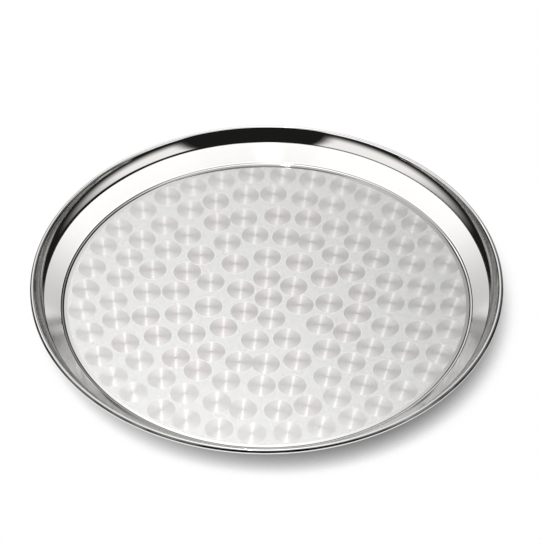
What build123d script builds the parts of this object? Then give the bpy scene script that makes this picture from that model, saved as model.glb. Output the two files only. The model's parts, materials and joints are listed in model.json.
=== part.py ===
from build123d import *
import os
from math import acos, cos, degrees, radians, sin

# Round serving tray, drawn from one disc of steel sheet: a flat floor, a small step with a narrow ledge
# round it, a sloping band, a wall that curves up, and the edge rolled outward and down over a ring of wire.
# The origin is the middle of the floor's underside, and +Z is up.

# Driving dimensions, in millimetres and degrees. Bends are measured at mid sheet.
overall_diameter = 350.0    # across the outside of the rolled rim
overall_height = 22.2       # from the table to the top of the rolled rim
sheet = 0.7                 # thickness of the steel
step_radius = 1.25          # both bends of the step round the floor
step_slope = 36.0           # steepest slope of that step
ledge_width = 0.5           # straight stretch between the step and the band's bend
ledge_slope = 10.0
band_bend = 1.85            # radius of the bend from ledge to band
band_slope = 41.0
wall_radius = 23.5          # of the curve from the band up to the rim
wall_slope = 69.0           # slope of the wall where it meets the rim
wire_diameter = 2.1
wire_clearance = 0.1        # all round the wire, inside the rolled edge
curl_gap = 0.4              # from the end of the rolled edge to the wall behind it


class BentSheet:
    """Follows the middle of a sheet, seen in section, and draws its upper and lower face."""

    def __init__(self, radius, height):
        self.place = Vector(radius, height)
        self.heading = 0.0
        self.upper = []
        self.lower = []

    def along(self):
        return Vector(cos(radians(self.heading)), sin(radians(self.heading)))

    def upward(self):
        return Vector(-sin(radians(self.heading)), cos(radians(self.heading)))

    def straight(self, length):
        end = self.place + self.along() * length
        to_face = self.upward() * (sheet / 2)
        self.upper.append(Line(self.place + to_face, end + to_face))
        self.lower.append(Line(self.place - to_face, end - to_face))
        self.place = end

    def bend(self, radius, turn):
        """Bends up by a positive turn and down by a negative one."""
        side = 1 if turn > 0 else -1
        centre = self.place + self.upward() * (side * radius)
        start = self.heading - side * 90
        self.upper.append(CenterArc(centre, radius - side * sheet / 2, start, turn))
        self.lower.append(CenterArc(centre, radius + side * sheet / 2, start, turn))
        self.heading += turn
        self.place = centre - self.upward() * (side * radius)

    def section(self):
        axis_end = Line(self.lower[0] @ 0, self.upper[0] @ 0)
        cut_end = Line(self.upper[-1] @ 1, self.lower[-1] @ 1)
        return make_face([axis_end, *self.upper, cut_end, *self.lower])


# Rolled rim: the sheet lies round the wire with the clearance between them
curl_bore = wire_diameter / 2 + wire_clearance
curl_radius = curl_bore + sheet / 2
rim_radius = curl_bore + sheet
rim_centre = Vector(overall_diameter / 2 - rim_radius, overall_height - rim_radius)
curl_turn = 360 - degrees(acos((curl_bore - curl_gap) / rim_radius))


def draw_side(pan, band_length):
    """Draws the side from the floor's edge to the foot of the rolled rim."""
    pan.bend(step_radius, step_slope)
    pan.bend(step_radius, ledge_slope - step_slope)
    pan.straight(ledge_width)
    pan.bend(band_bend, band_slope - ledge_slope)
    pan.straight(band_length)
    pan.bend(wall_radius, wall_slope - band_slope)


# The band takes up the height that the bends leave, and the floor the width that the side leaves.
# A trial side with a short band of any length shows how much that is.
trial_band = sheet
trial = BentSheet(0, sheet / 2)
draw_side(trial, trial_band)
wall_top = rim_centre + Vector(-sin(radians(wall_slope)), cos(radians(wall_slope))) * curl_radius
band_length = trial_band + (wall_top.Y - trial.place.Y) / sin(radians(band_slope))
side_width = trial.place.X + (band_length - trial_band) * cos(radians(band_slope))
floor_radius = wall_top.X - side_width


def make_pan():
    pan = BentSheet(0, sheet / 2)
    pan.straight(floor_radius)
    draw_side(pan, band_length)
    pan.bend(curl_radius, -curl_turn)
    return revolve(Plane.XZ * pan.section(), Axis.Z)


def make_rim_wire():
    return Pos(0, 0, rim_centre.Y) * Torus(rim_centre.X, wire_diameter / 2)


os.makedirs("parts", exist_ok=True)
export_step(make_pan(), "parts/pan.step")
export_step(make_rim_wire(), "parts/rim_wire.step")
print(f"floor radius {floor_radius:.2f} mm, band {band_length:.2f} mm, rolled edge turns {curl_turn:.1f} degrees")
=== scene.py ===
import json
import math

import bpy
import numpy as np
from bpy.props import FloatProperty, FloatVectorProperty, IntProperty, PointerProperty
from mathutils import Euler, Matrix, Vector


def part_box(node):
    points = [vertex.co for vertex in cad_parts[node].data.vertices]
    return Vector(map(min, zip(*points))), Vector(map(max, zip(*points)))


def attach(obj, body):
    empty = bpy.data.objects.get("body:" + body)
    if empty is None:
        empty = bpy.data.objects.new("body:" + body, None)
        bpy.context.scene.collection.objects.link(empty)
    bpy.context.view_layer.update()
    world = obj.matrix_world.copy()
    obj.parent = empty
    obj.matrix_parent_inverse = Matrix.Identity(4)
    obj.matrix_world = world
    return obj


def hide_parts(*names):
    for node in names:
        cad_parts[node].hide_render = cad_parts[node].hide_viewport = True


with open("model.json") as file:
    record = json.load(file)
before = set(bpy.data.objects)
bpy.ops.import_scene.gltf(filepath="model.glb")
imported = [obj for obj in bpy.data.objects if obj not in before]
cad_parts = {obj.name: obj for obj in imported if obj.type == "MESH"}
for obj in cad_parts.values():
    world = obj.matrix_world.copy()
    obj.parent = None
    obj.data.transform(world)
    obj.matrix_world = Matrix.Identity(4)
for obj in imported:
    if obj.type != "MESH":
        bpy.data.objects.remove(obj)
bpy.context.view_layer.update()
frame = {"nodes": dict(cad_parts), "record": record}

bl_info = {
    "name": "Engine-turned Steel Plate",
    "version": (1, 0, 0),
    "blender": (4, 5, 0),
    "location": "View3D > Sidebar > Plate",
    "description": "Dresses a round pressed steel plate with a spotted floor and a wired rim",
    "category": "Object",
}

MM = 0.001

# Sizes that the frame already holds
PAN_LOW, PAN_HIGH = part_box("pan")
WIRE_LOW, WIRE_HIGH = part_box("rim_wire")
FLOOR_TOP = next(m["pos_m"][2] for m in frame["record"]["mounts"] if m["name"] == "serving_floor")
WIRE_RADIUS = (WIRE_HIGH.z - WIRE_LOW.z) / 2
RIM_HEIGHT = (WIRE_HIGH.z + WIRE_LOW.z) / 2
RIM_REACH = WIRE_HIGH.x - WIRE_RADIUS
RIM_RADIUS = PAN_HIGH.z - RIM_HEIGHT

# Swirls in each ring of the floor, from the middle out, and the angle of the first in degrees
SWIRL_RINGS = ((1, 0), (6, 38), (11, 27), (19, 4), (24, 11), (31, 6), (36, 5))

# Painted shade in the floor's two creases and at the wall's foot and top: half the width of its lines there,
# and the way across the plate to the side where it is mostly faded out
PAINTED_SHADE_HALVES = (0.45 * MM, 0.35 * MM, 0.3 * MM, 0.3 * MM)
SHADE_FADE_WAY = (0.26, 0.97, 0)

# Brightness of the studio's pieces, where 1 is white, and what some of them gain towards their bright end
PAPER_LEVEL = 0.93
PAPER_GAIN = 1.17
CEILING_LEVEL = 0.7
TABLE_LEVEL = 1.05
STRIP_LEVEL = 0.85
STRIP_GAIN = 0.65
CARD_LEVEL = 2.4
HIGH_CARD_LEVEL = 1.1
DARK_LEVEL = 0.03
DARK_GAIN = 0.13

# Width, length and place of the lamps, in metres
TOP_PANEL = ((2.2, 2.2), (-0.1, 0.2, 1.6))
LINE_LAMP = ((0.02, 0.68), (-0.157, 1.56, 4.29))

# The photograph's frame, and where it shows the middle of the plate's floor, in pixels
FRAME_PIXELS = 540
FLOOR_MIDDLE_PIXEL = (264.79, 298.9)


def linear(hex_colour):
    """An sRGB hex colour as linear red, green, blue and alpha."""
    channels = [int(hex_colour[i:i + 2], 16) / 255 for i in (1, 3, 5)]
    return tuple(c / 12.92 if c <= 0.04045 else ((c + 0.055) / 1.055) ** 2.4 for c in channels) + (1.0,)


def length(name, description, millimetres):
    return FloatProperty(name=name, description=description, default=millimetres * MM, unit="LENGTH",
                         subtype="DISTANCE", precision=5)


def angle(name, description, degrees):
    return FloatProperty(name=name, description=description, default=math.radians(degrees), subtype="ANGLE")


def colour(name, description, hex_colour):
    return FloatVectorProperty(name=name, description=description, default=linear(hex_colour), size=4,
                               subtype="COLOR", min=0, max=1)


class PlateShape(bpy.types.PropertyGroup):
    """The pressed sheet's section, as in the solids"""
    step_radius: length("Step radius", "Both bends of the step round the floor, at mid sheet", 1.25)
    step_slope: angle("Step slope", "Steepest slope of the step", 36)
    ledge_width: length("Ledge width", "Straight stretch between the step and the band's bend", 0.5)
    ledge_slope: angle("Ledge slope", "Slope of the ledge", 10)
    band_bend: length("Band bend", "Radius of the bend from ledge to band, at mid sheet", 1.85)
    band_slope: angle("Band slope", "Slope of the band", 41)
    wall_radius: length("Wall radius", "Radius of the curve from the band up to the rim, at mid sheet", 23.5)
    wall_slope: angle("Wall slope", "Slope of the wall where it meets the rim", 69)
    curl_gap: length("Curl gap", "From the end of the rolled edge to the wall behind it", 0.4)
    bend_step: angle("Bend step", "Turn of a bend between two rows of faces", 3)
    curl_step: angle("Curl step", "Turn of the rolled edge between two rows of faces", 6)
    edge_loop: length("Edge loop", "Row of faces that keeps a straight stretch straight up to its bend", 0.03)
    segments: IntProperty(name="Segments", description="Faces round the plate", default=320, min=32)


class PlateFinish(bpy.types.PropertyGroup):
    """The steel's colours, the marks of its polishing, and painted shade, highlights and dark reflections"""
    polished_colour: colour("Polished steel", "Step, band and underside", "#DBDAD8")
    # Painted dark reflection: the wall inside is coloured darker than the polished steel
    wall_painted_reflection: colour("Wall", "Inside of the wall, polished less bright", "#A19F9D")
    # Painted highlight: the rim is coloured paler than the polished steel
    rim_painted_highlight: colour("Rim", "Rolled rim, bright from handling", "#F0F0EF")
    # Painted shade in the creases and at the wall's foot and top, and painted dark reflection on the rim's
    # outer shoulder
    painted_shade_colour: colour("Crease", "Polishing compound left in creases and on the rim's outer shoulder",
                          "#242221")
    floor_colour: colour("Ground floor", "Matt ground between the swirls", "#E1E1E0")
    swirl_colour: colour("Swirled floor", "Inside the swirls", "#D3D0CE")
    # Painted highlight on the burr round each swirl
    burr_highlight_colour: colour("Swirl edge", "Bright burr round a swirl", "#F2F2F1")
    # Painted shade in the small pit in the middle of some swirls
    pip_shade_colour: colour("Swirl middle", "Dark pip that the bob leaves in the middle of some swirls", "#6E6C6A")
    wire_colour: colour("Drawn wire", "Wire in the rim", "#B4B2AE")
    ring_pitch: length("Ring pitch", "From one ring of swirls to the next", 22.95)
    turned_radius: length("Turned radius", "From the middle of the floor to the end of its swirls", 148.3)
    shift_x: length("Shift X", "How far right the swirls' rings are off the plate's middle", 1.45)
    shift_y: length("Shift Y", "How far back the swirls' rings are off the plate's middle", 1.18)
    swirl_diameter: length("Swirl diameter", "Across one swirl", 21.0)
    groove: length("Groove", "Width of a swirl's grooves, drawn coarse enough to show", 1.1)
    polish_line: length("Polish line", "Width of the polishing lines, drawn coarse enough to show", 2.0)


class PlateStage(bpy.types.PropertyGroup):
    """Floor, light and camera"""
    camera_distance: FloatProperty(name="Camera distance", description="From the middle of the floor",
                                   default=2.207, unit="LENGTH", subtype="DISTANCE")
    camera_elevation: angle("Camera elevation", "Above the horizon, seen from the plate", 44.05)
    camera_roll: angle("Camera roll", "Turn about the line of sight", -0.25)
    focal_pixels: FloatProperty(name="Focal length", description="In pixels of the frame", default=2962.5,
                                subtype="PIXEL")
    table_colour: colour("Table", "Pale table that the plate stands on", "#FBFBFA")
    table_light: FloatProperty(name="Table light", default=2.0,
                               description="How far the open sky outshines white on the table")
    top_panel: FloatProperty(name="Top panel", default=18.0, unit="POWER",
                             description="Watts of the soft panel overhead")
    line_lamp: FloatProperty(name="Line lamp", default=12.0, unit="POWER",
                             description="Watts of the narrow lamp that draws the lines in the swirls")
    dome_radius: FloatProperty(name="Dome radius", description="Size of the studio that the steel mirrors",
                               default=5.0, unit="LENGTH", subtype="DISTANCE")
    fill: FloatProperty(name="Fill", description="Strength of the light from all round", default=0.55)


def add(tree, kind, inputs=None, **settings):
    """Adds a node with its settings. An input is a value, or an output socket to link from."""
    node = tree.nodes.new(kind)
    for name, value in settings.items():
        setattr(node, name, value)
    for key, value in (inputs or {}).items():
        if isinstance(value, bpy.types.NodeSocket):
            tree.links.new(value, node.inputs[key])
        else:
            node.inputs[key].default_value = value
    return node


def new_material(name):
    material = bpy.data.materials.new(name)
    material.use_nodes = True
    material.node_tree.nodes.clear()
    return material, material.node_tree


class SectionLine:
    """Follows the middle of a bent sheet in section. It keeps points of the upper and the lower face, and the
    radius where each stretch starts."""

    def __init__(self, sheet, edge_loop):
        self.sheet = sheet
        self.edge_loop = edge_loop
        self.place = Vector((0, sheet / 2))
        self.heading = 0.0
        self.starts = []
        self.upper = []
        self.lower = []

    def upward(self):
        return Vector((-math.sin(self.heading), math.cos(self.heading)))

    def mark(self):
        to_face = self.upward() * (self.sheet / 2)
        self.upper.append(self.place + to_face)
        self.lower.append(self.place - to_face)

    def straight(self, distance):
        start = self.place
        self.starts.append(start.x)
        along = Vector((math.cos(self.heading), math.sin(self.heading)))
        for part in (0, self.edge_loop, distance - self.edge_loop):
            self.place = start + along * part
            self.mark()
        self.place = start + along * distance

    def bend(self, radius, turn, step):
        side = 1 if turn > 0 else -1
        self.starts.append(self.place.x)
        centre = self.place + self.upward() * (side * radius)
        count = math.ceil(abs(turn) / step)
        for _ in range(count):
            self.mark()
            self.heading += turn / count
            self.place = centre - self.upward() * (side * radius)


def draw_side(line, shape, band_length):
    """Draws the side from the floor's edge to the foot of the rolled rim."""
    line.bend(shape.step_radius, shape.step_slope, shape.bend_step)
    line.bend(shape.step_radius, shape.ledge_slope - shape.step_slope, shape.bend_step)
    line.straight(shape.ledge_width)
    line.bend(shape.band_bend, shape.band_slope - shape.ledge_slope, shape.bend_step)
    line.straight(band_length)
    line.bend(shape.wall_radius, shape.wall_slope - shape.band_slope, shape.bend_step)


def pan_section(shape, turned_radius):
    """Points of the pan's section, from the axis out along the upper face and back along the lower. With them
    come the radii of the two creases round the floor, and of the starts of band, wall and rim. The floor has
    a row of points where its engine turning ends."""
    sheet = FLOOR_TOP
    curl_radius = RIM_RADIUS - sheet / 2
    curl_turn = 2 * math.pi - math.acos((RIM_RADIUS - sheet - shape.curl_gap) / RIM_RADIUS)
    wall_top = Vector((RIM_REACH - math.sin(shape.wall_slope) * curl_radius,
                       RIM_HEIGHT + math.cos(shape.wall_slope) * curl_radius))

    # A trial side with a short band shows how much height and width the band and the floor have to take up
    trial_band = sheet
    trial = SectionLine(sheet, shape.edge_loop)
    draw_side(trial, shape, trial_band)
    band_length = trial_band + (wall_top.y - trial.place.y) / math.sin(shape.band_slope)
    floor_radius = wall_top.x - trial.place.x - (band_length - trial_band) * math.cos(shape.band_slope)
    line = SectionLine(sheet, shape.edge_loop)
    line.straight(turned_radius)
    line.straight(floor_radius - turned_radius)
    draw_side(line, shape, band_length)
    line.bend(curl_radius, -curl_turn, shape.curl_step)
    line.mark()
    _, _, step, step_top, _, band_bend, band, wall, rim = line.starts
    creases = ((step + step_top) / 2, (band_bend + band) / 2)
    return line.upper + line.lower[::-1], creases, (band, wall, rim)


def lathe_tree():
    """Geometry Nodes: turns a row of points in the XZ plane about Z and gives each zone its finish."""
    tree = bpy.data.node_groups.new("turn_section", "GeometryNodeTree")
    face = tree.interface
    face.new_socket("Section", in_out="INPUT", socket_type="NodeSocketGeometry")
    face.new_socket("Segments", in_out="INPUT", socket_type="NodeSocketInt")
    face.new_socket("Floor Radius", in_out="INPUT", socket_type="NodeSocketFloat")
    face.new_socket("Floor Height", in_out="INPUT", socket_type="NodeSocketFloat")
    for name in ("Polished", "Engine Turned", "Mill"):
        face.new_socket(name, in_out="INPUT", socket_type="NodeSocketMaterial")
    face.new_socket("Pan", in_out="OUTPUT", socket_type="NodeSocketGeometry")
    given = add(tree, "NodeGroupInput").outputs
    points = add(tree, "GeometryNodeAttributeDomainSize", {0: given["Section"]}).outputs["Point Count"]
    rows = add(tree, "ShaderNodeMath", {0: given["Segments"], 1: 1}, operation="ADD").outputs[0]
    grid = add(tree, "GeometryNodeMeshGrid",
               {"Size X": 1, "Size Y": 1, "Vertices X": points, "Vertices Y": rows})
    at = add(tree, "GeometryNodeInputPosition").outputs[0]
    share = add(tree, "ShaderNodeVectorMath", {0: at, 1: (0.5, 0.5, 0)}, operation="ADD").outputs[0]
    share = add(tree, "ShaderNodeSeparateXYZ", {0: share}).outputs
    last = add(tree, "ShaderNodeMath", {0: points, 1: 1}, operation="SUBTRACT").outputs[0]
    number = add(tree, "ShaderNodeMath", {0: share["X"], 1: last}, operation="MULTIPLY").outputs[0]
    number = add(tree, "ShaderNodeMath", {0: number}, operation="ROUND").outputs[0]
    turn = add(tree, "ShaderNodeMath", {0: share["Y"], 1: 2 * math.pi}, operation="MULTIPLY").outputs[0]
    sample = add(tree, "GeometryNodeSampleIndex", data_type="FLOAT_VECTOR", domain="POINT")
    tree.links.new(given["Section"], sample.inputs["Geometry"])
    tree.links.new(at, sample.inputs["Value"])
    tree.links.new(number, sample.inputs["Index"])
    turned = add(tree, "ShaderNodeVectorRotate", {"Vector": sample.outputs[0], "Angle": turn},
                 rotation_type="Z_AXIS").outputs[0]
    pan = add(tree, "GeometryNodeSetPosition",
              {"Geometry": grid.outputs["Mesh"], "Position": turned}).outputs[0]
    pan = add(tree, "GeometryNodeMergeByDistance", {"Geometry": pan, "Distance": 1e-6}).outputs[0]
    pan = add(tree, "GeometryNodeSetShadeSmooth", {"Geometry": pan, "Shade Smooth": True}).outputs[0]
    pan = add(tree, "GeometryNodeRealizeInstances", {"Geometry": pan}).outputs[0]
    pan = add(tree, "GeometryNodeSetMaterial", {"Geometry": pan, "Material": given["Polished"]}).outputs[0]
    apart = add(tree, "ShaderNodeSeparateXYZ", {0: at}).outputs
    reach = add(tree, "ShaderNodeVectorMath", {0: at, 1: (1, 1, 0)}, operation="MULTIPLY").outputs[0]
    reach = add(tree, "ShaderNodeVectorMath", {0: reach}, operation="LENGTH").outputs["Value"]
    inside = add(tree, "ShaderNodeMath", {0: reach, 1: given["Floor Radius"]},
                 operation="LESS_THAN").outputs[0]
    half = add(tree, "ShaderNodeMath", {0: given["Floor Height"], 1: 0.5}, operation="MULTIPLY").outputs[0]
    for name, compare in (("Engine Turned", "GREATER_THAN"), ("Mill", "LESS_THAN")):
        side = add(tree, "ShaderNodeMath", {0: apart["Z"], 1: half}, operation=compare).outputs[0]
        chosen = add(tree, "ShaderNodeMath", {0: side, 1: inside}, operation="MULTIPLY").outputs[0]
        pan = add(tree, "GeometryNodeSetMaterial",
                  {"Geometry": pan, "Selection": chosen, "Material": given[name]}).outputs[0]
    add(tree, "NodeGroupOutput", {0: pan})
    return tree


def polished_steel(finish, creases, zones):
    """Stainless steel sheet, pressed and polished. Step, wall and rim mirror clearly, drawn out a little by
    fine lines that run round the plate, and the band is satin. Its colour is painted darker inside the wall
    as a dark reflection and paler on the rim as a highlight, with painted shade in the creases round the
    floor and at the wall's foot and top and a painted dark reflection on the rim's outer shoulder."""
    band, wall, rim = zones
    blend = 0.8 * MM
    satin_roughness = 0.1
    shade_patch = 25 * MM
    shade_fade_from = 90 * MM
    shade_fade_to = 120 * MM
    material, tree = new_material("stainless_mirror_polished")
    given = add(tree, "ShaderNodeTexCoord").outputs
    place = given["Object"]
    apart = add(tree, "ShaderNodeSeparateXYZ", {0: place}).outputs
    reach = add(tree, "ShaderNodeVectorMath", {0: place, 1: (1, 1, 0)}, operation="MULTIPLY").outputs[0]
    out_way = add(tree, "ShaderNodeVectorMath", {0: reach}, operation="NORMALIZE").outputs[0]
    reach = add(tree, "ShaderNodeVectorMath", {0: reach}, operation="LENGTH").outputs["Value"]

    # Polishing lines change quickly across the sheet and slowly round the plate
    rise = add(tree, "ShaderNodeMath", {0: reach, 1: apart["Z"]}, operation="ADD").outputs[0]
    rise = add(tree, "ShaderNodeMath", {0: rise, 1: 1 / finish.polish_line}, operation="MULTIPLY").outputs[0]
    rise = add(tree, "ShaderNodeCombineXYZ", {"Z": rise}).outputs[0]
    along = add(tree, "ShaderNodeVectorMath", {0: out_way, 1: (1.5, 1.5, 0)}, operation="MULTIPLY").outputs[0]
    along = add(tree, "ShaderNodeVectorMath", {0: along, 1: rise}, operation="ADD").outputs[0]
    lines = add(tree, "ShaderNodeTexNoise",
                {"Vector": along, "Scale": 1, "Detail": 3, "Roughness": 0.6}).outputs[0]
    bump = add(tree, "ShaderNodeBump", {"Height": lines, "Strength": 0.06, "Distance": 0.00012}).outputs[0]
    rough = add(tree, "ShaderNodeMapRange", {0: lines, 1: 0.3, 2: 0.7, 3: 0.015, 4: 0.035}).outputs[0]

    # The satin band, softly blended at both ends, the wall inside and the rim
    satin = add(tree, "ShaderNodeMapRange", {0: reach, 1: band, 2: band + blend}).outputs[0]
    end = add(tree, "ShaderNodeMapRange", {0: reach, 1: wall - blend, 2: wall, 3: 1, 4: 0}).outputs[0]
    satin = add(tree, "ShaderNodeMath", {0: satin, 1: end}, operation="MULTIPLY").outputs[0]
    rough = add(tree, "ShaderNodeMix", {"Factor": satin, "A": rough, "B": satin_roughness}).outputs["Result"]
    upper = add(tree, "ShaderNodeSeparateXYZ", {0: given["Normal"]}).outputs["Z"]
    upper = add(tree, "ShaderNodeMapRange", {0: upper, 1: 0.1, 2: 0.25}).outputs[0]
    # Inside the wall, where it faces up, the colour is a painted dark reflection
    inner_wall = add(tree, "ShaderNodeMath", {0: reach, 1: wall}, operation="GREATER_THAN").outputs[0]
    inner_wall = add(tree, "ShaderNodeMath", {0: inner_wall, 1: upper}, operation="MULTIPLY").outputs[0]
    # On the rim the colour is a painted highlight
    on_rim = add(tree, "ShaderNodeMath", {0: reach, 1: rim}, operation="GREATER_THAN").outputs[0]

    # Painted shade in the creases of the upper face and painted dark reflection on the rim's outer shoulder,
    # stronger in some places than in others and mostly faded out along the back
    outward = add(tree, "ShaderNodeVectorMath", {0: given["Normal"], 1: out_way},
                  operation="DOT_PRODUCT").outputs["Value"]
    # Painted dark reflection on the rim's outer shoulder, where the surface faces outward and up
    painted_shade = add(tree, "ShaderNodeMapRange", {0: outward, 1: 0.35, 2: 0.5}).outputs[0]
    for crease, half in zip((*creases, wall, rim), PAINTED_SHADE_HALVES):
        line = add(tree, "ShaderNodeMath", {0: reach, 1: crease, 2: half}, operation="COMPARE").outputs[0]
        painted_shade = add(tree, "ShaderNodeMath", {0: painted_shade, 1: line}, operation="MAXIMUM").outputs[0]
    painted_shade = add(tree, "ShaderNodeMath", {0: painted_shade, 1: upper}, operation="MULTIPLY").outputs[0]
    patchy = add(tree, "ShaderNodeTexNoise",
                 {"Vector": place, "Scale": 1 / shade_patch, "Detail": 2}).outputs[0]
    patchy = add(tree, "ShaderNodeMapRange", {0: patchy, 1: 0.3, 2: 0.6, 3: 0.8, 4: 1}).outputs[0]
    painted_shade = add(tree, "ShaderNodeMath", {0: painted_shade, 1: patchy}, operation="MULTIPLY").outputs[0]
    back = add(tree, "ShaderNodeVectorMath", {0: place, 1: SHADE_FADE_WAY},
               operation="DOT_PRODUCT").outputs["Value"]
    shade_left = add(tree, "ShaderNodeMapRange", {0: back, 1: shade_fade_from, 2: shade_fade_to, 3: 1, 4: 0.2}).outputs[0]
    painted_shade = add(tree, "ShaderNodeMath", {0: painted_shade, 1: shade_left}, operation="MULTIPLY").outputs[0]
    # Over the polished colour: painted dark reflection inside the wall, painted highlight on the rim, and
    # painted shade in the creases and on the rim's outer shoulder
    tone = finish.polished_colour
    layers = ((inner_wall, finish.wall_painted_reflection), (on_rim, finish.rim_painted_highlight), (painted_shade, finish.painted_shade_colour))
    for share, paint in layers:
        tone = add(tree, "ShaderNodeMix", {"Factor": share, 6: tone, 7: paint}, data_type="RGBA").outputs[2]
    steel = add(tree, "ShaderNodeBsdfPrincipled", {"Base Color": tone, "Metallic": 1, "Roughness": rough,
                                                   "Normal": bump})
    add(tree, "ShaderNodeOutputMaterial", {0: steel.outputs[0]})
    return material


def engine_turned_steel(finish):
    """Stainless steel sheet, ground matt and then spotted with a turning abrasive bob: each spot's round
    grooves spread light across themselves, so it shows a bright line through its middle and dark lobes."""
    # How much the swirls differ in their place along the ring and across it, and in wear
    turn_play = 0.18
    ring_play = 0.12
    wear_play = 0.3
    edge = finish.swirl_diameter / 2
    edge_blend = 0.2 * MM
    burr_half = 0.25 * MM
    pip_dark = 0.25 * MM
    pip_end = 0.7 * MM
    grain_size = 0.3 * MM
    material, tree = new_material("stainless_engine_turned")
    place = add(tree, "ShaderNodeTexCoord").outputs["Object"]
    flat = add(tree, "ShaderNodeVectorMath", {0: place, 1: (1, 1, 0)}, operation="MULTIPLY").outputs[0]
    flat = add(tree, "ShaderNodeVectorMath", {0: flat, 1: (finish.shift_x, finish.shift_y, 0)},
               operation="SUBTRACT").outputs[0]
    apart = add(tree, "ShaderNodeSeparateXYZ", {0: flat}).outputs
    reach = add(tree, "ShaderNodeVectorMath", {0: flat}, operation="LENGTH").outputs["Value"]
    ring = add(tree, "ShaderNodeMath", {0: reach, 1: finish.ring_pitch}, operation="DIVIDE").outputs[0]
    ring = add(tree, "ShaderNodeMath", {0: ring}, operation="ROUND").outputs[0]
    ring = add(tree, "ShaderNodeMath", {0: ring, 1: len(SWIRL_RINGS) - 1}, operation="MINIMUM").outputs[0]

    # A stepped ramp gives each ring its count of swirls and the place of its first one
    most = max(count for count, _ in SWIRL_RINGS)
    step = 1 / len(SWIRL_RINGS)
    where = add(tree, "ShaderNodeMath", {0: ring, 1: step, 2: step / 2}, operation="MULTIPLY_ADD").outputs[0]
    ramp = add(tree, "ShaderNodeValToRGB", {0: where})
    ramp.color_ramp.interpolation = "CONSTANT"
    stops = ramp.color_ramp.elements
    while len(stops) < len(SWIRL_RINGS):
        stops.new(0.5)
    for stop, number, (count, first) in zip(stops, range(len(SWIRL_RINGS)), SWIRL_RINGS):
        stop.position = number * step
        stop.color = (count / most, first / 360, 0, 1)
    given = add(tree, "ShaderNodeSeparateColor", {0: ramp.outputs["Color"]}).outputs
    count = add(tree, "ShaderNodeMath", {0: given["Red"], 1: most}, operation="MULTIPLY").outputs[0]
    full = 2 * math.pi
    way = add(tree, "ShaderNodeMath", {0: apart["Y"], 1: apart["X"]}, operation="ARCTAN2").outputs[0]
    way = add(tree, "ShaderNodeMath", {0: way, 1: full}, operation="DIVIDE").outputs[0]
    way = add(tree, "ShaderNodeMath", {0: way, 1: given["Green"]}, operation="SUBTRACT").outputs[0]
    number = add(tree, "ShaderNodeMath", {0: way, 1: count}, operation="MULTIPLY").outputs[0]
    number = add(tree, "ShaderNodeMath", {0: number}, operation="ROUND").outputs[0]
    own = add(tree, "ShaderNodeMath", {0: number, 1: count}, operation="FLOORED_MODULO").outputs[0]
    seed = add(tree, "ShaderNodeCombineXYZ", {"X": ring, "Y": own, "Z": 3.0}).outputs[0]
    chance = add(tree, "ShaderNodeTexWhiteNoise", {"Vector": seed}).outputs["Color"]
    half = (0.5, 0.5, 0.5)
    chance = add(tree, "ShaderNodeVectorMath", {0: chance, 1: half}, operation="SUBTRACT").outputs[0]
    chance = add(tree, "ShaderNodeSeparateXYZ", {0: chance}).outputs

    # The middle of the nearest swirl, and the way out from it
    turn = add(tree, "ShaderNodeMath", {0: chance["X"], 1: turn_play, 2: number},
               operation="MULTIPLY_ADD").outputs[0]
    turn = add(tree, "ShaderNodeMath", {0: turn, 1: count}, operation="DIVIDE").outputs[0]
    turn = add(tree, "ShaderNodeMath", {0: turn, 1: given["Green"]}, operation="ADD").outputs[0]
    turn = add(tree, "ShaderNodeMath", {0: turn, 1: full}, operation="MULTIPLY").outputs[0]
    shift = add(tree, "ShaderNodeMath", {0: chance["Y"], 1: ring_play, 2: ring},
                operation="MULTIPLY_ADD").outputs[0]
    shift = add(tree, "ShaderNodeMath", {0: shift, 1: finish.ring_pitch}, operation="MULTIPLY").outputs[0]
    middle = add(tree, "ShaderNodeCombineXYZ", {"X": shift}).outputs[0]
    middle = add(tree, "ShaderNodeVectorRotate", {"Vector": middle, "Angle": turn},
                 rotation_type="Z_AXIS").outputs[0]
    out = add(tree, "ShaderNodeVectorMath", {0: flat, 1: middle}, operation="SUBTRACT").outputs[0]
    far = add(tree, "ShaderNodeVectorMath", {0: out}, operation="LENGTH").outputs["Value"]
    disc = add(tree, "ShaderNodeMapRange", {0: far, 1: edge - edge_blend, 2: edge, 3: 1, 4: 0}).outputs[0]

    # Swirls of the outer rings are fainter, and no two are worn alike
    worn = add(tree, "ShaderNodeMapRange", {0: ring, 1: 3.5, 2: 6, 3: 1, 4: 0.6}).outputs[0]
    worn = add(tree, "ShaderNodeMath", {0: chance["Z"], 1: wear_play, 2: worn},
               operation="MULTIPLY_ADD").outputs[0]
    inside = add(tree, "ShaderNodeMath", {0: disc, 1: worn}, operation="MULTIPLY", use_clamp=True).outputs[0]
    # A painted highlight on the burr round each swirl, sharper where the swirl is less worn
    burr_highlight = add(tree, "ShaderNodeMath", {0: far, 1: edge + burr_half, 2: burr_half},
               operation="COMPARE").outputs[0]
    sharp = add(tree, "ShaderNodeMapRange", {0: worn, 1: 0.6, 2: 1.1, 3: 0, 4: 0.9}).outputs[0]
    burr_highlight = add(tree, "ShaderNodeMath", {0: burr_highlight, 1: sharp}, operation="MULTIPLY").outputs[0]
    # Painted shade in the small pit in the middle of some swirls
    pip_shade = add(tree, "ShaderNodeMapRange", {0: far, 1: pip_dark, 2: pip_end, 3: 1, 4: 0}).outputs[0]
    some = add(tree, "ShaderNodeMapRange", {0: chance["X"], 1: 0, 2: 0.4}).outputs[0]
    some = add(tree, "ShaderNodeMath", {0: some, 1: sharp}, operation="MULTIPLY").outputs[0]
    pip_shade = add(tree, "ShaderNodeMath", {0: pip_shade, 1: some}, operation="MULTIPLY").outputs[0]

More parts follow.
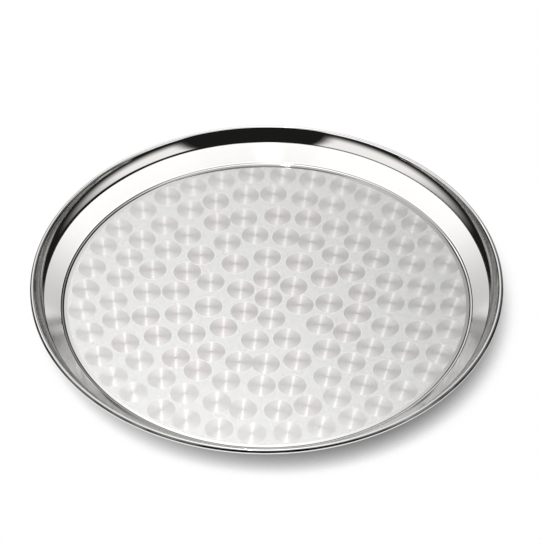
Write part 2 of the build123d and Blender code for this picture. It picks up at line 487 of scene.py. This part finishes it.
    # Grooves round each swirl, and the ground's grain between them, both drawn coarse enough to show
    groove = add(tree, "ShaderNodeMath", {0: far, 1: 1 / finish.groove}, operation="MULTIPLY").outputs[0]
    groove = add(tree, "ShaderNodeMath", {0: chance["Z"], 1: 50, 2: groove},
                 operation="MULTIPLY_ADD").outputs[0]
    groove = add(tree, "ShaderNodeTexNoise", {"W": groove, "Scale": 1, "Detail": 2},
                 noise_dimensions="1D").outputs[0]
    grain = add(tree, "ShaderNodeTexNoise", {"Vector": flat, "Scale": 1 / grain_size, "Detail": 2}).outputs
    height = add(tree, "ShaderNodeMix", {"Factor": disc, "A": grain[0], "B": groove}).outputs["Result"]
    bump = add(tree, "ShaderNodeBump", {"Height": height, "Strength": 0.3, "Distance": 0.0001}).outputs[0]
    grain_way = add(tree, "ShaderNodeVectorMath", {0: grain["Color"], 1: half},
                    operation="SUBTRACT").outputs[0]
    grain_way = add(tree, "ShaderNodeVectorMath", {0: grain_way}, operation="NORMALIZE").outputs[0]
    out = add(tree, "ShaderNodeVectorMath", {0: out}, operation="NORMALIZE").outputs[0]
    clear = add(tree, "ShaderNodeMapRange", {0: worn, 1: 0.45, 2: 0.8, 3: 0.8, 4: 1}).outputs[0]
    clear = add(tree, "ShaderNodeMath", {0: disc, 1: clear}, operation="MULTIPLY").outputs[0]
    spread = add(tree, "ShaderNodeMix", {"Factor": clear, 4: grain_way, 5: out},
                 data_type="VECTOR").outputs[1]
    deep = add(tree, "ShaderNodeMapRange", {0: groove, 1: 0.35, 2: 0.65, 3: 0.7, 4: 1}).outputs[0]
    deep = add(tree, "ShaderNodeMath", {0: inside, 1: deep}, operation="MULTIPLY").outputs[0]
    # The swirls' own tone, then a painted highlight on their burrs and painted shade in their pits
    tone = finish.floor_colour
    for share, paint in ((deep, finish.swirl_colour), (burr_highlight, finish.burr_highlight_colour), (pip_shade, finish.pip_shade_colour)):
        tone = add(tree, "ShaderNodeMix", {"Factor": share, 6: tone, 7: paint}, data_type="RGBA").outputs[2]
    steel = add(tree, "ShaderNodeBsdfPrincipled",
                {"Base Color": tone, "Metallic": 0.72, "Roughness": 0.17, "Anisotropic": 1.0,
                 "Tangent": spread, "Normal": bump})
    add(tree, "ShaderNodeOutputMaterial", {0: steel.outputs[0]})
    return material


def mill_steel(finish):
    """Stainless steel sheet as rolled: an even, slightly cloudy grey under the plate."""
    # Rolling lines, drawn coarse enough to show
    line_length = 50 / 3 * MM
    line_width = 2 / 3 * MM
    material, tree = new_material("stainless_mill_finish")
    place = add(tree, "ShaderNodeTexCoord").outputs["Object"]
    scale = (1 / line_length, 1 / line_width, 1 / line_length)
    stretched = add(tree, "ShaderNodeMapping", {"Vector": place, "Scale": scale}).outputs[0]
    lines = add(tree, "ShaderNodeTexNoise", {"Vector": stretched, "Scale": 1, "Detail": 3}).outputs[0]
    rough = add(tree, "ShaderNodeMapRange", {0: lines, 1: 0.3, 2: 0.7, 3: 0.28, 4: 0.4}).outputs[0]
    bump = add(tree, "ShaderNodeBump", {"Height": lines, "Strength": 0.2, "Distance": 0.00003}).outputs[0]
    steel = add(tree, "ShaderNodeBsdfPrincipled", {"Base Color": finish.polished_colour, "Metallic": 1,
                                                   "Roughness": rough, "Normal": bump})
    add(tree, "ShaderNodeOutputMaterial", {0: steel.outputs[0]})
    return material


def drawn_wire(finish):
    """Steel wire, drawn through a die: dull grey, with fine scratches along its length."""
    scratch_width = 0.15 * MM
    material, tree = new_material("steel_drawn_wire")
    place = add(tree, "ShaderNodeTexCoord").outputs["Object"]
    apart = add(tree, "ShaderNodeSeparateXYZ", {0: place}).outputs
    lines = add(tree, "ShaderNodeMath", {0: apart["Z"], 1: 1 / scratch_width},
                operation="MULTIPLY").outputs[0]
    lines = add(tree, "ShaderNodeTexNoise", {"W": lines, "Scale": 1, "Detail": 2},
                noise_dimensions="1D").outputs[0]
    rough = add(tree, "ShaderNodeMapRange", {0: lines, 1: 0.3, 2: 0.7, 3: 0.3, 4: 0.5}).outputs[0]
    bump = add(tree, "ShaderNodeBump", {"Height": lines, "Strength": 0.3, "Distance": 0.00002}).outputs[0]
    steel = add(tree, "ShaderNodeBsdfPrincipled", {"Base Color": finish.wire_colour, "Metallic": 1,
                                                   "Roughness": rough, "Normal": bump})
    add(tree, "ShaderNodeOutputMaterial", {0: steel.outputs[0]})
    return material


class PLATE_OT_pan(bpy.types.Operator):
    """Make the pressed pan from its section, with its three finishes"""
    bl_idname = "plate.pan"
    bl_label = "Pressed Pan"

    def execute(self, context):
        finish = context.scene.plate_finish
        points, creases, zones = pan_section(context.scene.plate_shape, finish.turned_radius)
        outline = bpy.data.meshes.new("pan_section")
        edges = [(i, i + 1) for i in range(len(points) - 1)]
        outline.from_pydata([(p.x, 0, p.y) for p in points], edges, [])
        pan = bpy.data.objects.new("pressed_pan", outline)
        context.collection.objects.link(pan)
        tree = lathe_tree()
        modifier = pan.modifiers.new("turn", "NODES")
        modifier.node_group = tree
        values = {"Segments": context.scene.plate_shape.segments, "Floor Radius": finish.turned_radius,
                  "Floor Height": FLOOR_TOP, "Polished": polished_steel(finish, creases, zones),
                  "Engine Turned": engine_turned_steel(finish), "Mill": mill_steel(finish)}
        for socket in tree.interface.items_tree:
            if socket.name in values:
                modifier[socket.identifier] = values[socket.name]
        evaluated = pan.evaluated_get(context.evaluated_depsgraph_get())
        mesh = bpy.data.meshes.new_from_object(evaluated)
        pan.modifiers.remove(modifier)
        pan.data = mesh
        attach(pan, "root")
        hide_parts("pan")
        return {"FINISHED"}


class PLATE_OT_rim_wire(bpy.types.Operator):
    """Finish the wire that the rim is rolled over"""
    bl_idname = "plate.rim_wire"
    bl_label = "Rim Wire"

    def execute(self, context):
        wire = frame["nodes"]["rim_wire"]
        wire.data.materials.clear()
        wire.data.materials.append(drawn_wire(context.scene.plate_finish))
        return {"FINISHED"}


def ease(low, high, value):
    """Rises smoothly from 0 at the low mark to 1 at the high mark."""
    share = min(max((value - low) / (high - low), 0), 1)
    return share * share * (3 - 2 * share)


def band_mirror(band_slope, camera, reach):
    """Compass angles from the back, right positive, and elevations on a dome of that reach, of what the band
    mirrors to the camera, in degrees."""
    low_band = Vector(((PAN_HIGH.x + RIM_REACH - RIM_HEIGHT) / 2, 0, RIM_HEIGHT / 3))
    path = []
    for turn in range(-40, 221, 4):
        way = Matrix.Rotation(math.radians(turn), 3, "Z")
        facing = way @ Vector((-math.sin(band_slope), 0, math.cos(band_slope)))
        place = way @ low_band
        seen = (place - camera).normalized().reflect(facing)
        along = place.dot(seen)
        seen = place + seen * (math.sqrt(along * along - place.length_squared + reach * reach) - along)
        path.append((math.degrees(math.atan2(seen.x, seen.y)), math.degrees(math.asin(seen.z / reach))))
    return np.array(sorted(path)).T


def studio_level(turn, rise, path):
    """Brightness of the studio towards a compass angle from the back, right positive, and an elevation, both
    in degrees. Its pieces stand where the polished side mirrors them to the photograph's viewpoint."""
    side = abs(turn)
    over = rise if side < 90 else 180 - rise
    band = np.interp(turn, *path)
    lean = math.degrees(math.asin(math.cos(math.radians(rise)) * math.sin(math.radians(turn))))
    dark_side, dark_top, gap, camera_edge = (92, 59, 6, 135) if turn > 0 else (60, 44, 2, 146)

    # White paper hangs behind the plate and over it, with a dark seam across it. High up it is brighter and
    # narrower, and straight overhead it is not so bright.
    high = ease(44, 51, over)
    left_edge = -34 + 28 * high
    high *= 1 - 0.9 * ease(66, 78, over) * (1 - ease(102, 114, over))
    seam = 0.4 + 0.6 * ease(1.2, 3, abs(over - 63))
    paper = ease(left_edge - 3, left_edge + 3, lean) * (1 - ease(-3, 15, lean)) * ease(18, 26, rise)
    paper *= (PAPER_LEVEL + PAPER_GAIN * high) * seam

    # A greyer ceiling spreads from the paper to both sides
    ceiling = max(ease(dark_top - 2, dark_top + 2, rise), ease(dark_side - 3, dark_side + 3, side))
    low = max(band, 50 * ease(92, 98, side))
    ceiling *= CEILING_LEVEL * ease(low - 1, low, rise)

    # The table's far edge, a strip that whitens the band, pale cards at the sides below it with a dark gap
    # between, and one small card higher up on the right
    table = TABLE_LEVEL * (1 - ease(15, 20, rise)) * (1 - ease(34, 46, side))
    strip = ease(band - 3, band - 1.8, rise) * (1 - ease(band + 5, band + 8, rise))
    strip *= ease(20, 24, side) * (STRIP_LEVEL + STRIP_GAIN * ease(38, 75, side))
    card_top = band - gap - 2
    card = ease(60, 112, side) * (1 - ease(card_top - 1.5, card_top, rise)) * ease(3, 25, rise)
    high_card = ease(62, 66, turn) * (1 - ease(78, 82, turn)) * ease(40, 43, rise) * (1 - ease(49, 52, rise))

    # The rest is dark, a little less so above the strip, and so is the side where the camera stands
    dusk = DARK_LEVEL + DARK_GAIN * ease(band + 7, band + 15, rise)
    level = max(paper, ceiling, table, strip, CARD_LEVEL * card, HIGH_CARD_LEVEL * high_card, dusk)
    camera_side = ease(camera_edge, camera_edge + 8, side) * (1 - ease(band - 2.5, band - 1.5, rise))
    return level + (DARK_LEVEL - level) * camera_side


def studio_dome(radius, path):
    """The studio round the plate, which only reflections show."""
    turns = range(-180, 181, 2)
    rises = range(0, 91)
    places = []
    levels = []
    for rise in rises:
        for turn in turns:
            out = Vector((0, radius, 0))
            out.rotate(Euler((math.radians(rise), 0, math.radians(-turn))))
            places.append(out)
            levels.append(studio_level(turn, rise, path))
    width = len(turns)
    faces = [(i, i + 1, i + 1 + width, i + width) for i in range(len(places) - width) if (i + 1) % width]
    mesh = bpy.data.meshes.new("studio_dome")
    mesh.from_pydata(places, [], faces)
    mesh.attributes.new("level", "FLOAT", "POINT").data.foreach_set("value", levels)
    dome = bpy.data.objects.new("studio_dome", mesh)
    bpy.context.collection.objects.link(dome)
    material, tree = new_material("studio_dome")
    level = add(tree, "ShaderNodeAttribute", attribute_name="level").outputs["Fac"]
    glow = add(tree, "ShaderNodeEmission", {"Strength": level})
    add(tree, "ShaderNodeOutputMaterial", {0: glow.outputs[0]})
    mesh.materials.append(material)
    dome.visible_camera = False
    dome.visible_diffuse = False
    dome.visible_shadow = False


def seen_share(tree):
    """1 for what the camera sees, straight or through a reflection or glass, and 0 for light on its way."""
    path = add(tree, "ShaderNodeLightPath").outputs
    seen = add(tree, "ShaderNodeMath", {0: path["Is Camera Ray"], 1: path["Is Glossy Ray"]},
               operation="MAXIMUM").outputs[0]
    return add(tree, "ShaderNodeMath", {0: seen, 1: path["Is Transmission Ray"]},
               operation="MAXIMUM").outputs[0]


def area_lamp(name, watts, size, place):
    """A lamp of that width and length that shines down."""
    lamp = bpy.data.lights.new(name, "AREA")
    lamp.shape = "RECTANGLE"
    lamp.size, lamp.size_y = size
    lamp.energy = watts
    holder = bpy.data.objects.new(name, lamp)
    holder.location = place
    holder.visible_camera = False
    bpy.context.collection.objects.link(holder)
    return holder


class PLATE_OT_stage(bpy.types.Operator):
    """Set up the table, the light and the camera"""
    bl_idname = "plate.stage"
    bl_label = "Stage"

    def execute(self, context):
        stage = context.scene.plate_stage
        half = 6.0
        corners = [(-half, -half, 0), (half, -half, 0), (half, half, 0), (-half, half, 0)]
        mesh = bpy.data.meshes.new("table")
        mesh.from_pydata(corners, [], [(0, 1, 2, 3)])
        table = bpy.data.objects.new("table", mesh)
        context.collection.objects.link(table)
        material, tree = new_material("table_matt")
        skin = add(tree, "ShaderNodeBsdfDiffuse", {"Color": stage.table_colour})

        # The table shows white, and darkens where the plate hides the sky, which is brighter on the left
        sky_way = add(tree, "ShaderNodeCombineXYZ", {"X": -0.35, "Z": 0.94}).outputs[0]
        sky = add(tree, "ShaderNodeAmbientOcclusion", {"Distance": 0.2, "Normal": sky_way},
                  samples=16).outputs["AO"]
        sky = add(tree, "ShaderNodeMath", {0: sky, 1: 1.3}, operation="POWER").outputs[0]
        white = add(tree, "ShaderNodeMath", {0: sky, 1: stage.table_light}, operation="MULTIPLY",
                    use_clamp=True).outputs[0]
        glow = add(tree, "ShaderNodeEmission", {"Strength": white}).outputs[0]
        shown = add(tree, "ShaderNodeMixShader", {0: seen_share(tree), 1: skin.outputs[0], 2: glow})
        add(tree, "ShaderNodeOutputMaterial", {0: shown.outputs[0]})
        mesh.materials.append(material)

        away = Vector((0, -math.cos(stage.camera_elevation), math.sin(stage.camera_elevation)))
        camera_place = Vector((0, 0, FLOOR_TOP)) + away * stage.camera_distance
        reach = stage.dome_radius
        studio_dome(reach, band_mirror(context.scene.plate_shape.band_slope, camera_place, reach))
        panel = area_lamp("top_panel", stage.top_panel, *TOP_PANEL)
        panel.visible_glossy = False
        area_lamp("line_lamp", stage.line_lamp, *LINE_LAMP)

        world = bpy.data.worlds.new("studio")
        context.scene.world = world
        world.use_nodes = True
        tree = world.node_tree
        tree.nodes.clear()
        level = add(tree, "ShaderNodeMapRange", {0: seen_share(tree), 3: stage.fill, 4: 1.0}).outputs[0]
        sky = add(tree, "ShaderNodeBackground", {"Color": (1, 1, 1, 1), "Strength": level})
        add(tree, "ShaderNodeOutputWorld", {0: sky.outputs[0]})

        focal = stage.focal_pixels
        middle = (FRAME_PIXELS - 1) / 2
        tilt = stage.camera_elevation - math.atan((FLOOR_MIDDLE_PIXEL[1] - middle) / focal)
        swing = math.atan((FLOOR_MIDDLE_PIXEL[0] - middle) / focal)
        camera = bpy.data.objects.new("camera", bpy.data.cameras.new("camera"))
        camera.data.sensor_width = 36
        camera.data.lens = focal / FRAME_PIXELS * camera.data.sensor_width
        camera.data.clip_end = 50
        camera.location = camera_place
        aim = Matrix.Rotation(swing, 3, "Z") @ Matrix.Rotation(math.pi / 2 - tilt, 3, "X")
        camera.rotation_euler = (aim @ Matrix.Rotation(stage.camera_roll, 3, "Z")).to_euler()
        context.collection.objects.link(camera)
        context.scene.camera = camera
        context.scene.view_settings.view_transform = "Standard"
        return {"FINISHED"}


class PLATE_PT_sidebar(bpy.types.Panel):
    """Lists the plate's pieces and its stage"""
    bl_idname = "PLATE_PT_sidebar"
    bl_label = "Steel Plate"
    bl_space_type = "VIEW_3D"
    bl_region_type = "UI"
    bl_category = "Plate"

    def draw(self, context):
        groups = (("plate_shape", ("plate.pan",)), ("plate_finish", ("plate.rim_wire",)),
                  ("plate_stage", ("plate.stage",)))
        for group, operators in groups:
            box = self.layout.box()
            settings = getattr(context.scene, group)
            for name in settings.__annotations__:
                box.prop(settings, name)
            for operator in operators:
                box.operator(operator)


SETTINGS = {"plate_shape": PlateShape, "plate_finish": PlateFinish, "plate_stage": PlateStage}
CLASSES = (*SETTINGS.values(), PLATE_OT_pan, PLATE_OT_rim_wire, PLATE_OT_stage, PLATE_PT_sidebar)


def register():
    for cls in CLASSES:
        bpy.utils.register_class(cls)
    for name, group in SETTINGS.items():
        setattr(bpy.types.Scene, name, PointerProperty(type=group))


def unregister():
    for name in SETTINGS:
        delattr(bpy.types.Scene, name)
    for cls in reversed(CLASSES):
        bpy.utils.unregister_class(cls)


def main():
    register()
    bpy.ops.plate.pan()
    bpy.ops.plate.rim_wire()
    bpy.ops.plate.stage()


if __name__ == "__main__":
    main()
